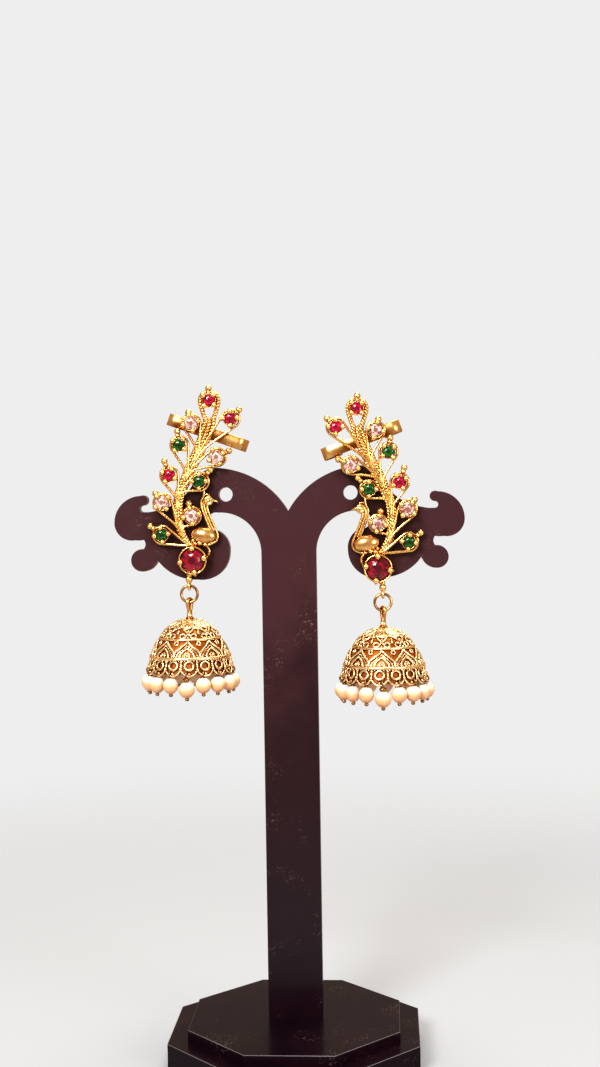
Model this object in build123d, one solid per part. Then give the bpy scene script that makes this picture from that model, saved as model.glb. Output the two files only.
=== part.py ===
"""A mirrored pair of jhumka earrings hanging on a plain acrylic display stand.

Units are millimetres. +Z is up, the front faces -Y, and the origin is the centre of the
stand's underside. Each earring is a stone-set spray with a peacock and a cuff clip, a jump
ring, and a domed bell fringed with pearls. Both are one design, modelled once for the left
side, in its own frame: the origin is behind the large ruby on the arm's front face, +X points
inwards to the stand's post, -Y forwards and +Z up. The right one is its mirror image.
"""
from build123d import *
import os
from math import atan2, cos, degrees, hypot, radians, sin

# ---- display stand ---------------------------------------------------------------------
BASE_FLATS = 45.0            # octagonal foot, across the flats
BASE_THICK = 5.0
STEP_FLATS = 38.0            # smaller octagon glued on the foot
STEP_THICK = 2.0
PLATE_THICK = 2.0            # upright sheet that carries the earrings
POST_WIDTH = 10.0
TENON_DEPTH = 4.0            # how far the post's end goes down into the two octagons
SLOT_GAP = 0.05              # glue gap round the tenon
NOTCH_BOTTOM_Z = 99.8        # bottom of the V between the two arms
SPARE_HOLE_X = 11.4
SPARE_HOLE_Z = 103.0
SPARE_HOLE_R = 1.3
STUD_HOLE_R = 1.3

# One scrolled arm, walked from the V round to the post: each row is an arc through
# (mid_x, mid_z) to (end_x, end_z), with x measured outwards from the post's centre line.
ARM_ARCS = (
    # mid_x, mid_z, end_x, end_z
    (4.3, 104.7, 12.8, 107.9),       # top edge rises from the V
    (15.8, 107.0, 17.6, 104.6),      # shoulder
    (20.0, 102.0, 24.4, 100.2),      # hollow down to the hook
    (25.5, 100.0, 26.6, 100.0),      # floor of the hook
    (27.3, 100.6, 26.7, 101.2),      # throat of the hook
    (25.8, 102.4, 27.1, 103.0),      # rounded tip of the hook
    (30.6, 101.5, 32.0, 98.2),       # back of the hook
    (31.2, 95.9, 28.2, 94.85),
    (27.4, 94.8, 26.6, 94.9),
    (26.3, 94.2, 26.7, 93.2),        # nick above the small lobe
    (29.0, 90.9, 26.9, 89.1),        # small lobe
    (25.2, 89.6, 24.1, 91.1),
    (20.9, 88.4, 16.7, 87.5),        # large lobe
    (12.3, 88.9, 10.8, 92.5),
    (11.3, 94.9, 12.9, 96.4),
    (15.0, 98.0, 12.9, 99.7),        # round end of the inner gap
    (7.6, 97.9, 5.0, 92.0),          # arch down to the post
)

# ---- earring placement -----------------------------------------------------------------
STUD_X = {"left": 17.4, "right": 16.25}      # distance of the large ruby from the centre
STUD_Z = {"left": 91.1, "right": 89.2}
ARM_GAP = 0.3                # the spray's back stands this far off the arm

# ---- spray -----------------------------------------------------------------------------
WIRE_PLANE = 0.9             # depth of the wires' middle in front of the arm
LATTICE_BACK = 0.6           # the wires' flat sheet, front and back
LATTICE_FRONT = 1.2
STEM_R = 0.52
LEAF_WIRE_R = 0.26
LEAF_R = 1.76                # a leaf's round outline about its collet
STALK_SPREAD = 0.75          # half the spread of a stalk's two wires at the collet
LEAF_BALL_R = 0.55
COLLET_R = 1.40              # cup that holds a small stone
COLLET_BACK = 0.45
COLLET_FRONT = 1.9
SMALL_STONE_R = 1.05
SMALL_STONE_SEAT = 0.6
PRONG_R = 0.28
PRONG_REACH = 0.45           # how far a prong stands up past the collet
STONE_GAP = 0.04             # between a stone and its seat

# The stem's route, bottom to top, in the spray's plane.
STEM_ROUTE = (
    # x, z
    (-0.45, 1.80), (-2.19, 5.62), (-2.60, 9.25), (-2.29, 12.15), (-1.28, 14.30),
    (-0.27, 16.71), (0.99, 19.09), (2.26, 21.98), (3.50, 24.60), (3.49, 27.60),
)

# Small stones: kind, centre, ball at the leaf's tip, and where its wire leaves the stem.
LEAVES = (
    # kind, x, z, ball_x, ball_z, root_x, root_z
    ("ruby", 3.45, 28.95, 3.34, 31.20, 3.49, 27.00),
    ("ruby", 7.28, 25.60, 8.85, 27.20, 2.00, 21.40),
    ("crystal", 0.10, 24.90, -0.40, 26.90, 2.60, 22.70),
    ("emerald", -2.15, 21.00, -2.50, 23.45, 0.40, 17.95),
    ("crystal", 4.65, 18.70, 6.90, 19.80, 0.75, 18.60),
    ("ruby", -4.10, 15.50, -4.95, 18.10, -2.00, 12.80),
    ("emerald", 1.45, 14.30, 3.45, 16.35, -1.60, 13.60),
    ("crystal", -5.45, 10.60, -6.70, 12.30, -2.45, 7.90),
    ("crystal", -0.11, 8.09, -0.54, 10.29, -2.45, 7.90),
    ("emerald", -5.60, 4.70, -7.75, 6.30, -1.10, 3.15),
)

# ---- large ruby at the foot of the spray -------------------------------------------------
RUBY_R = 2.1
BEZEL_R = 2.6
BEZEL_FRONT = 2.3
RUBY_SEAT = 0.95
RUBY_PRONG_R = 0.38
RUBY_PRONG_REACH = 0.6
RUBY_PRONG_ANGLES = (18, 98, 192, 282)
STUD_WIRE_R = 0.40
STUD_LENGTH = 9.0
GRAINS = ((-0.60, 2.70), (0.38, 2.92), (1.32, 2.62))     # x, z
GRAIN_R = 0.48
GRAIN_DEPTH = 1.35

# ---- peacock ----------------------------------------------------------------------------
PEACOCK_HEAD = (3.16, 11.09)
PEACOCK_HEAD_R = 0.90
BEAK_TIP = (4.85, 10.95)
BEAK_R = 0.55
BEAK_END_R = 0.10
# The neck's wire: nape, throat, breast, belly, and back to the stem's foot.
NECK_ROUTE = (
    # x, z
    (2.35, 11.00), (1.85, 9.80), (2.50, 8.20), (3.45, 6.30), (4.35, 4.90),
    (4.35, 3.70), (3.05, 2.95), (1.50, 3.05), (0.30, 2.05),
)
NECK_WIRE_R = 0.36
BODY_TAIL = (1.10, 4.40)
BODY_BREAST = (3.05, 4.60)
BODY_TAIL_R = 0.95
BODY_BREAST_R = 1.20
BODY_DEPTH = 1.5

# ---- cuff clip ---------------------------------------------------------------------------
CLIP_ENDS = ((-4.40, 25.90), (9.85, 20.70))       # ends of the strip behind the spray
CLIP_WIDTH = 2.2
CLIP_THICK = 0.4
CLIP_DEPTH = 6.0
CLIP_CORNER_R = 1.6
CLIP_MOUTH = 8.4             # open side, at the back

# ---- jump ring and its two eyes ----------------------------------------------------------
HANG_X = -0.78               # the drop's axis, outwards of the ruby's centre
HANG_DEPTH = 1.2             # and its depth in front of the arm
RING_Z = -6.15
RING_R = 1.5
RING_WIRE_R = 0.25
EYE_R = 0.60                 # centre line of the eyes that hold the ring
EYE_WIRE_R = 0.25
EYE_LEG = 0.65               # straight legs of the bell's long eye
LINK_BEAD_R = 0.50

# ---- bell --------------------------------------------------------------------------------
APEX_DROP = 4.5              # apex of the dome below the ring's centre
BEAD_R = 0.45
# The dome's section, from the crown to the rim.
CROWN = (0.5, 0.0)           # outer radius, depth below the apex
SHOULDER_MID = (2.8, 0.62)
SHOULDER = (5.5, 3.4)
FLANK_MID = (6.5, 5.0)
FLANK = (7.15, 6.65)
RIM = (7.8, 9.4)
WALL = 0.4
CAP_RADIUS = 2.4
CAP_DEPTH = 0.42
CAP_WIRE_R = 0.22
UPPER_BAND_WIRE_R = 0.22
LOWER_BAND_WIRE_R = 0.32

# ---- pearls ------------------------------------------------------------------------------
PEARLS = 16
PEARL_PHASE = 2.0            # degrees that the front pearl is turned past the front
PEARL_R = 1.38
PEARL_HALF_HEIGHT = 1.50
PEARL_BORE_R = 0.25
PIN_R = 0.17
PIN_LOOP_R = 0.46
PIN_LOOP_WIRE_R = 0.13
PIN_BALL_R = 0.38
LINK_HOLE_R = 0.28           # holes through the skirt that the pins hang in
LINK_HOLE_DEPTH = 8.80
PIN_LOOP_DEPTH = 9.24
PEARL_DEPTH = 11.40
FRONT_PEARL_DROP = 0.7       # the front pearl hangs a little lower than the rest
BALL_GAP = 0.04              # between a pearl and the ball under it


# ---- small helpers -------------------------------------------------------------------------
def spot(x, z, depth=WIRE_PLANE):
    """A point of the earring, given its depth in front of the arm."""
    return Vector(x, -depth, z)


def ball(centre, radius, pole=Vector(0, -1, 0)):
    """A sphere with its poles along the given direction."""
    return Plane(origin=centre, z_dir=pole) * Sphere(radius)


def grain(x, z, radius, depth):
    """A granule of solder metal: a short drum with both ends bevelled."""
    outline = Polyline((0, -radius), (radius / 2, -radius), (radius, -radius / 3),
                       (radius, radius / 3), (radius / 2, radius), (0, radius), close=True)
    drum = revolve(make_face(Plane.XZ * outline), axis=Axis.Z)
    return Plane(origin=spot(x, z, depth), z_dir=Vector(0, -1, 0)) * drum


def rod(start, end, radius):
    """A round bar between two points."""
    run = end - start
    return Solid.make_cylinder(radius, run.length, Plane(origin=start, z_dir=run))


def hoop(centre, radius, wire_radius, axis):
    """A wire ring about an axis."""
    return Solid.make_torus(radius, wire_radius, Plane(origin=centre, z_dir=axis))


def turned(centre_x, axis_y, outline):
    """Revolve a closed outline of (radius, z) edges about a vertical axis."""
    return Pos(centre_x, axis_y, 0) * revolve(make_face(outline), axis=Axis.Z)


def soldered(pieces):
    """Join metal pieces into one solid."""
    return pieces[0].fuse(*pieces[1:]).solids()


def across(angle):
    """The direction at an angle, anticlockwise from +X, in the spray's plane."""
    return Vector(cos(radians(angle)), 0, sin(radians(angle)))


# ---- display stand ---------------------------------------------------------------------------
def octagon(flats, thick, bottom):
    sketch = RegularPolygon(flats / 2, 8, major_radius=False, rotation=22.5)
    return Pos(0, 0, bottom) * extrude(sketch, thick)


def tenon_slot():
    top = BASE_THICK + STEP_THICK
    height = TENON_DEPTH + SLOT_GAP
    width = POST_WIDTH + 2 * SLOT_GAP
    depth = PLATE_THICK + 2 * SLOT_GAP
    return Pos(0, 0, top - height / 2 + 0.5) * Box(width, depth, height + 1)


def stand_base():
    return octagon(BASE_FLATS, BASE_THICK, 0) - tenon_slot()


def stand_step():
    return octagon(STEP_FLATS, STEP_THICK, BASE_THICK) - tenon_slot()


def arm_edges():
    """The outline of the right arm and half the post, as edges in the plate's own plane."""
    foot_z = BASE_THICK + STEP_THICK - TENON_DEPTH
    last = (0, NOTCH_BOTTOM_Z)
    edges = []
    for mid_x, mid_z, end_x, end_z in ARM_ARCS:
        edges.append(ThreePointArc(last, (mid_x, mid_z), (end_x, end_z)))
        last = (end_x, end_z)
    corners = [last, (POST_WIDTH / 2, foot_z), (0, foot_z), (0, NOTCH_BOTTOM_Z)]
    edges += [Line(a, b) for a, b in zip(corners, corners[1:])]
    return edges


def stand_plate():
    """Post and both arms, cut from one sheet."""
    right = extrude(Plane.XZ * make_face(arm_edges()), PLATE_THICK / 2, both=True)
    plate = right + mirror(right, about=Plane.YZ)
    holes = [(side * SPARE_HOLE_X, SPARE_HOLE_Z, SPARE_HOLE_R) for side in (-1, 1)]
    lift = STUD_HOLE_R - STUD_WIRE_R - STONE_GAP
    holes.append((-STUD_X["left"], STUD_Z["left"] + lift, STUD_HOLE_R))
    holes.append((STUD_X["right"], STUD_Z["right"] + lift, STUD_HOLE_R))
    for x, z, radius in holes:
        plate -= Pos(x, 0, z) * Rot(90, 0, 0) * Cylinder(radius, 3 * PLATE_THICK)
    return plate


# ---- spray ---------------------------------------------------------------------------------
def cup(x, z, radius, back, front, seat_radius, seat_depth):
    """A round setting with a flat-bottomed seat for its stone."""
    body = rod(spot(x, z, back), spot(x, z, front), radius)
    seat = rod(spot(x, z, front - seat_depth), spot(x, z, front + 1), seat_radius)
    return body - seat


def prong(x, z, reach, angle, radius, back, front):
    """A short flat-topped post standing on the cup's edge."""
    offset = across(angle) * reach
    return rod(spot(x, z, back) + offset, spot(x, z, front) + offset, radius)


def strip(start, end, width):
    """A flat bar of the lattice between two (x, z) points, in the sketch plane."""
    run = Vector(*end) - Vector(*start)
    middle = (Vector(*start) + Vector(*end)) / 2
    angle = degrees(atan2(run.Y, run.X))
    return Pos(middle.X, middle.Y) * Rot(0, 0, angle) * Rectangle(run.length, width)


def route(points, width):
    """Flat bars along a route, with a round knuckle at each point."""
    shapes = [strip(a, b, width) for a, b in zip(points, points[1:])]
    return shapes + [Pos(x, z) * Circle(width / 2 + 0.03) for x, z in points]


def leaf_outline(x, z, ball_x, ball_z, root_x, root_z):
    """The flat outline of one leaf: its loop, its tip and the two wires of its stalk."""
    heading = Vector(root_x - x, root_z - z).normalized()
    side = Vector(-heading.Y, heading.X) * STALK_SPREAD
    middle = Vector(x, z)
    shapes = [Pos(x, z) * Circle(LEAF_R), strip((x, z), (ball_x, ball_z), 2 * LEAF_WIRE_R)]
    for offset in (side, side * -1):
        start = middle + heading * LEAF_R * 0.6 + offset
        shapes.append(strip((start.X, start.Y), (root_x, root_z), 2 * LEAF_WIRE_R))
    return shapes


def lattice():
    """Stem, leaves and the peacock's neck as one flat openwork sheet."""
    shapes = route(STEM_ROUTE, 2 * STEM_R) + route(NECK_ROUTE, 2 * NECK_WIRE_R)
    for kind, *places in LEAVES:
        shapes += leaf_outline(*places)
    outline = shapes[0].fuse(*shapes[1:])
    sheet = extrude(Plane.XZ * outline, LATTICE_FRONT - LATTICE_BACK)
    return Pos(0, -LATTICE_BACK, 0) * sheet


def leaf_setting(x, z, ball_x, ball_z, *root):
    """The collet, its four prongs and the ball at the leaf's tip."""
    heading = degrees(atan2(ball_z - z, ball_x - x))
    pieces = [cup(x, z, COLLET_R, COLLET_BACK, COLLET_FRONT,
                  SMALL_STONE_R + STONE_GAP, SMALL_STONE_SEAT)]
    for turn in (45, 135, 225, 315):
        pieces.append(prong(x, z, COLLET_R, heading + turn, PRONG_R,
                            WIRE_PLANE, COLLET_FRONT + PRONG_REACH))
    pieces.append(grain(ball_x, ball_z, LEAF_BALL_R, WIRE_PLANE))
    return pieces


def ruby_bezel():
    """The large setting with four ball prongs and the stud's wire behind it."""
    pieces = [cup(0, 0, BEZEL_R, ARM_GAP, BEZEL_FRONT, RUBY_R + STONE_GAP, RUBY_SEAT)]
    for angle in RUBY_PRONG_ANGLES:
        pieces.append(prong(0, 0, BEZEL_R, angle, RUBY_PRONG_R,
                            ARM_GAP + RUBY_PRONG_R, BEZEL_FRONT + RUBY_PRONG_REACH))
    pieces.append(rod(spot(0, 0, ARM_GAP + 0.5), spot(0, 0, -STUD_LENGTH), STUD_WIRE_R))
    return pieces


def peacock():
    """Head, beak and rounded body; the neck belongs to the lattice."""
    head = spot(*PEACOCK_HEAD)
    run = spot(*BEAK_TIP) - head
    pieces = [ball(head, PEACOCK_HEAD_R)]
    pieces.append(Solid.make_cone(BEAK_R, BEAK_END_R, run.length, Plane(origin=head, z_dir=run)))
    tail = spot(*BODY_TAIL, BODY_DEPTH)
    breast = spot(*BODY_BREAST, BODY_DEPTH)
    pieces += [ball(tail, BODY_TAIL_R), ball(breast, BODY_BREAST_R)]
    pieces.append(Solid.make_cone(BODY_TAIL_R * 0.95, BODY_BREAST_R * 0.95,
                                  (breast - tail).length, Plane(origin=tail, z_dir=breast - tail)))
    return pieces


def cuff_clip():
    """A flat strip behind the spray, bent back at both ends and open behind."""
    (x1, z1), (x2, z2) = CLIP_ENDS
    length = hypot(x2 - x1, z2 - z1)
    slope = degrees(atan2(z2 - z1, x2 - x1))
    outer = RectangleRounded(length, CLIP_DEPTH, CLIP_CORNER_R)
    inner = RectangleRounded(length - 2 * CLIP_THICK, CLIP_DEPTH - 2 * CLIP_THICK,
                             CLIP_CORNER_R - CLIP_THICK)
    mouth = Pos(0, CLIP_DEPTH / 2) * Rectangle(CLIP_MOUTH, CLIP_DEPTH / 2)
    band = extrude(outer - inner - mouth, CLIP_WIDTH / 2, both=True)
    centre_y = CLIP_DEPTH / 2 - (ARM_GAP + CLIP_THICK)
    place = Pos((x1 + x2) / 2, centre_y, (z1 + z2) / 2) * Rot(0, -slope, 0)
    return place * band


def hanging_eye():
    """The bead and the eye under the ruby that the jump ring hangs in."""
    centre_z = RING_Z + RING_R
    bead_z = centre_z + EYE_R + EYE_WIRE_R + LINK_BEAD_R * 0.6
    centre = spot(HANG_X, centre_z, HANG_DEPTH)
    bead = spot(HANG_X, bead_z, HANG_DEPTH)
    neck = rod(bead, spot(HANG_X * 0.85, -BEZEL_R * 0.9, HANG_DEPTH), LINK_BEAD_R * 0.8)
    eye = hoop(centre, EYE_R, EYE_WIRE_R, Vector(1, 0, 0))
    return [eye, ball(bead, LINK_BEAD_R, Vector(0, 0, 1)), neck]


def spray():
    pieces = [lattice()]
    for kind, *places in LEAVES:
        pieces += leaf_setting(*places)
    pieces += ruby_bezel() + peacock() + hanging_eye()
    pieces += [grain(x, z, GRAIN_R, GRAIN_DEPTH) for x, z in GRAINS]
    pieces.append(cuff_clip())
    return soldered(pieces)


# ---- stones ---------------------------------------------------------------------------------
def round_stone(x, z, radius, bottom):
    """A round cut stone: flat back, short girdle, sloping crown and a table."""
    girdle = radius * 0.35
    crown = radius * 0.45
    table = radius * 0.6
    low = spot(x, z, bottom)
    high = spot(x, z, bottom + girdle)
    forward = Vector(0, -1, 0)
    slab = Solid.make_cylinder(radius, girdle + 0.01, Plane(origin=low, z_dir=forward))
    top = Solid.make_cone(radius, table, crown, Plane(origin=high, z_dir=forward))
    return slab.fuse(top)


def big_ruby():
    return round_stone(0, 0, RUBY_R, BEZEL_FRONT - RUBY_SEAT + STONE_GAP)


def small_stones(wanted):
    bottom = COLLET_FRONT - SMALL_STONE_SEAT + STONE_GAP
    return [round_stone(x, z, SMALL_STONE_R, bottom)
            for kind, x, z, *_ in LEAVES if kind == wanted]


# ---- drop ------------------------------------------------------------------------------------
def jump_ring():
    return hoop(spot(HANG_X, RING_Z, HANG_DEPTH), RING_R, RING_WIRE_R, Vector(0, 1, 0))


def dome_section(wall):
    """One side of the dome's section, from crown to rim, set in by a wall thickness."""
    apex = RING_Z - APEX_DROP

    def point(place, across_share, down_share):
        radius, depth = place
        return (radius - wall * across_share, 0, apex - depth - wall * down_share)

    crown = point(CROWN, 0, 1)
    shoulder = point(SHOULDER, 0.75, 0.66)
    flank = point(FLANK, 0.94, 0.3)
    return [
        ThreePointArc(crown, point(SHOULDER_MID, 0.42, 0.9), shoulder),
        ThreePointArc(shoulder, point(FLANK_MID, 0.88, 0.45), flank),
        Line(flank, point(RIM, 1, 0)),
    ]


def dome():
    apex = RING_Z - APEX_DROP
    outer = dome_section(0)
    inner = dome_section(WALL)
    edges = outer + inner
    edges.append(Line(outer[-1] @ 1, inner[-1] @ 1))
    edges.append(Line((0, 0, apex), outer[0] @ 0))
    edges.append(Line((0, 0, apex - WALL), inner[0] @ 0))
    edges.append(Line((0, 0, apex), (0, 0, apex - WALL)))
    return turned(HANG_X, -HANG_DEPTH, edges)


def around(index):
    """Direction of a numbered pearl, counted from the front."""
    angle = radians(-90 + PEARL_PHASE + index * 360 / PEARLS)
    return Vector(cos(angle), sin(angle), 0)


def bell():
    """Dome with its bands, crown bead and long eye; holes for the pins near the rim."""
    axis = spot(HANG_X, 0, HANG_DEPTH)
    apex = RING_Z - APEX_DROP
    up = Vector(0, 0, 1)
    shell = dome()
    for index in range(PEARLS):
        middle = axis + up * (apex - LINK_HOLE_DEPTH)
        start = middle + around(index) * (RIM[0] - 2)
        end = middle + around(index) * (RIM[0] + 1)
        shell -= rod(start, end, LINK_HOLE_R)
    pieces = [shell]
    for radius, depth, wire in ((CAP_RADIUS, CAP_DEPTH, CAP_WIRE_R),
                                (*SHOULDER, UPPER_BAND_WIRE_R),
                                (*FLANK, LOWER_BAND_WIRE_R)):
        pieces.append(hoop(axis + up * (apex - depth), radius, wire, up))
    top_z = RING_Z - RING_R
    low_z = top_z - EYE_LEG
    bead_z = apex + BEAD_R * 0.75
    pieces.append(long_eye(axis, top_z, low_z))
    pieces.append(ball(axis + up * bead_z, BEAD_R, up))
    pieces.append(rod(axis + up * (low_z - EYE_R), axis + up * (apex - 0.1), EYE_WIRE_R))
    return soldered(pieces)


def long_eye(axis, top_z, low_z):
    """An upright oval wire eye in the YZ plane: two half rings and two legs."""
    up = Vector(0, 0, 1)
    sideways = Vector(1, 0, 0)
    upper = hoop(axis + up * top_z, EYE_R, EYE_WIRE_R, sideways)
    lower = hoop(axis + up * low_z, EYE_R, EYE_WIRE_R, sideways)
    size = 4 * EYE_R
    keep_top = Pos(axis.X, axis.Y, top_z + size / 2) * Box(size, size, size)
    keep_low = Pos(axis.X, axis.Y, low_z - size / 2) * Box(size, size, size)
    pieces = [(upper & keep_top).solid(), (lower & keep_low).solid()]
    for side in (-EYE_R, EYE_R):
        leg = Vector(0, side, 0)
        pieces.append(rod(axis + leg + up * top_z, axis + leg + up * low_z, EYE_WIRE_R))
    return pieces[0].fuse(*pieces[1:])


def pin_axis(index):
    return spot(HANG_X, 0, HANG_DEPTH) + around(index) * (RIM[0] - WALL / 2 - 0.03)


def pearl_z(index):
    """Height of a numbered pearl's middle."""
    drop = FRONT_PEARL_DROP if index == 0 else 0
    return RING_Z - APEX_DROP - PEARL_DEPTH - drop


def head_pin(index):
    """A wire with a closed loop in the skirt's hole and a ball under its pearl."""
    apex = RING_Z - APEX_DROP
    up = Vector(0, 0, 1)
    axis = pin_axis(index)
    loop_z = apex - PIN_LOOP_DEPTH
    ball_z = pearl_z(index) - PEARL_HALF_HEIGHT - BALL_GAP - PIN_BALL_R * 0.75
    loop = hoop(axis + up * loop_z, PIN_LOOP_R, PIN_LOOP_WIRE_R, around(index).cross(up))
    shaft = rod(axis + up * (loop_z - PIN_LOOP_R), axis + up * ball_z, PIN_R)
    return soldered([shaft, loop, ball(axis + up * ball_z, PIN_BALL_R, up)])


def pearl(index):
    """An oval bead with a bore for its pin."""
    half = PEARL_HALF_HEIGHT
    end = 0.97 * half
    outer_mid = PEARL_R * 0.76
    mid_z = 0.64 * half
    edges = [
        ThreePointArc((PEARL_BORE_R, 0, -end), (outer_mid, 0, -mid_z), (PEARL_R, 0, 0)),
        ThreePointArc((PEARL_R, 0, 0), (outer_mid, 0, mid_z), (PEARL_BORE_R, 0, end)),
        Line((PEARL_BORE_R, 0, end), (PEARL_BORE_R, 0, -end)),
    ]
    bead = revolve(make_face(edges), axis=Axis.Z)
    place = pin_axis(index) + Vector(0, 0, pearl_z(index))
    return Pos(*place) * bead


# ---- build and write ---------------------------------------------------------------------------
def flat_list(shapes):
    return [solid for shape in shapes for solid in shape.solids()]


def one_earring():
    """Every piece of the left earring in its own frame, by node name."""
    pieces = {
        "spray": spray(),
        "ruby": [big_ruby()],
        "small_rubies": small_stones("ruby"),
        "emeralds": small_stones("emerald"),
        "crystals": small_stones("crystal"),
        "jump_ring": [jump_ring()],
        "bell": bell(),
        "pearl_pins": flat_list(head_pin(index) for index in range(PEARLS)),
    }
    for index in range(PEARLS):
        pieces[f"pearl_{index + 1:02d}"] = [pearl(index)]
    return {name: flat_list(shapes) for name, shapes in pieces.items()}


def place_on_stand(shape, side):
    if side == "right":
        shape = mirror(shape, about=Plane.YZ)
    direction = 1 if side == "right" else -1
    return Pos(direction * STUD_X[side], -PLATE_THICK / 2, STUD_Z[side]) * shape


def main():
    os.makedirs("parts", exist_ok=True)
    nodes = {"stand_base": stand_base(), "stand_step": stand_step(), "stand_plate": stand_plate()}
    earring = one_earring()
    for side in ("left", "right"):
        for name, solids in earring.items():
            shape = Compound(children=[place_on_stand(solid, side) for solid in solids])
            nodes[f"{side}_{name}"] = shape if len(solids) > 1 else shape.solid()
    for name, shape in nodes.items():
        export_step(shape, f"parts/{name}.step")
        print(name, len(shape.solids()), round(shape.volume, 2))


main()
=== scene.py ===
import math
import random

import bmesh
import bpy
import numpy as np
from mathutils import Matrix, Vector


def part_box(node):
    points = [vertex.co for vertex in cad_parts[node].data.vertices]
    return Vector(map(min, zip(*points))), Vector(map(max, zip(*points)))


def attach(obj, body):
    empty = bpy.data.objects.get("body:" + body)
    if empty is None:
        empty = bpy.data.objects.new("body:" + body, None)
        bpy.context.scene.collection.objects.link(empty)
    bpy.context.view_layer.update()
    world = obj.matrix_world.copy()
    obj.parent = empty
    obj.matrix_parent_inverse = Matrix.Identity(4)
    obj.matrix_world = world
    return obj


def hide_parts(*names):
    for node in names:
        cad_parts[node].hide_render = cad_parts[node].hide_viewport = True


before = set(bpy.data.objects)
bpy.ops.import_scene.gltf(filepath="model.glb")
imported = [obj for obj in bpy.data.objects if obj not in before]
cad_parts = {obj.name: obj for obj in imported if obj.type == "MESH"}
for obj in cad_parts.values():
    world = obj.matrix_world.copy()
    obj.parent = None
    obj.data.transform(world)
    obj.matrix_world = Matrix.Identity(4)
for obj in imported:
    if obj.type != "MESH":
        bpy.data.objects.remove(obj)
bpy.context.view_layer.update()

MM = 0.001
SEEDS = {"left": 7, "right": 19}  # of the pearls' unevenness, one for each earring

FORWARD = (0, -1, 0)         # the way the earrings' fronts face
UP = (0, 0, 1)

# ---- sizes in millimetres, most of them the CAD model's own ----
WIRE_DEPTH = 0.9             # the spray's wires, in front of the arm
STEM_ROUTE = (
    # x, z
    (-0.45, 2.30), (-1.35, 3.90), (-2.19, 5.62), (-2.60, 9.25), (-2.29, 12.15),
    (-1.28, 14.30), (-0.27, 16.71), (0.99, 19.09), (2.26, 21.98), (3.30, 24.60),
)
LEAVES = (
    # stone, x, z, ball_x, ball_z, root_x, root_z, stem_z
    ("ruby", 7.28, 25.60, 8.85, 27.20, 2.40, 20.60, 17.0),
    ("crystal", 0.10, 24.90, -0.40, 26.90, 1.20, 20.60, 18.0),
    ("emerald", -2.15, 21.00, -2.50, 23.45, -0.90, 16.60, 14.5),
    ("crystal", 4.65, 18.70, 6.90, 19.80, 0.60, 16.90, 14.8),
    ("ruby", -4.10, 15.50, -4.95, 18.10, -2.80, 11.80, 9.5),
    ("emerald", 1.45, 14.30, 3.45, 16.35, -1.50, 12.90, 11.0),
    ("crystal", -5.45, 10.60, -6.70, 12.30, -3.05, 6.90, 4.6),
    ("crystal", -0.11, 8.09, -0.54, 10.29, -2.05, 6.40, 5.0),
    ("emerald", -5.60, 4.70, -7.75, 6.30, -1.60, 3.00, 2.8),
)
TOP_RUBY = ("ruby", 3.45, 28.95, 3.34, 31.20)
SETTINGS = (TOP_RUBY,) + tuple(row[:5] for row in LEAVES)
STONE_R = 1.12               # small rubies and emeralds
CRYSTAL_R = 1.26
STONE_DEPTH = 1.92           # the small stones' girdles, in front of the arm
LEAF_R = 1.62                # a leaf's loop round its stone
LEAF_WIRE_R = 0.25
RUBY_R = 2.10
RUBY_DEPTH = 2.15
ARM_GAP = 0.3                # back of the spray to the arm
CLIP_ENDS = ((-4.40, 25.90), (9.85, 20.70))  # x, z
CLIP_WIDTH = 2.2
CLIP_THICK = 0.4
CLIP_DEPTH = 6.0             # how far it reaches back
CLIP_CORNER_R = 1.6
CLIP_MOUTH = 8.4             # the gap between its ends, behind
STUD_WIRE_R = 0.40
STUD_LENGTH = 9.0
RING_R = 1.5                 # the jump ring, to the middle of its wire
RING_WIRE_R = 0.25
EYE_R = 0.60                 # the eyes above and below it
APEX_DROP = 4.5              # the dome's apex below the ring's centre
CROWN = (0.5, 0.0)           # the dome's section: radius, depth below the apex
SHOULDER_MID = (2.8, 0.62)
SHOULDER = (5.5, 3.4)
FLANK_MID = (6.5, 5.0)
FLANK = (7.15, 6.65)
RIM = (7.8, 9.4)
HEM = (7.86, 9.72)           # the lace hangs a little below the rim
PEARLS = 16
PEARL_PHASE = 2.0            # degrees from the front to the first pearl
PEARL_R = 1.38
PEARL_HALF_HEIGHT = 1.50
PEARL_DEPTH = 11.40          # the pearls' middles, below the apex
FRONT_PEARL_DROP = 0.7       # the first pearl hangs lower by this
PIN_LOOP_DEPTH = 9.24        # the pins' loops, below the apex
PIN_CIRCLE_R = 7.57
PIN_R = 0.15
PIN_BALL_R = 0.38


# ---- mesh building ----
def unit(vectors):
    vectors = np.asarray(vectors, float)
    return vectors / np.linalg.norm(vectors, axis=-1, keepdims=True)


def full_turn(steps):
    """Angles evenly round a circle."""
    return np.linspace(0, 2 * math.pi, steps, endpoint=False)


def smooth_line(points, steps):
    """A Catmull-Rom curve through the points, with a number of steps between each two."""
    points = np.asarray(points, float)
    first = 2 * points[0] - points[1]
    last = 2 * points[-1] - points[-2]
    padded = np.vstack([first, points, last])
    t = np.linspace(0, 1, steps, endpoint=False)[:, None]
    spans = []
    for a, b, c, d in zip(padded, padded[1:], padded[2:], padded[3:]):
        spans.append(0.5 * (2 * b + (c - a) * t + (2 * a - 5 * b + 4 * c - d) * t ** 2
                            + (3 * b - a - 3 * c + d) * t ** 3))
    return np.vstack(spans + [points[-1:]])


def square_to(axis):
    """An axis as a unit vector, and two directions square to it."""
    axis = unit(axis)
    first = unit(np.cross(axis, np.eye(3)[np.argmin(np.abs(axis))]))
    return axis, first, np.cross(axis, first)


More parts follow.
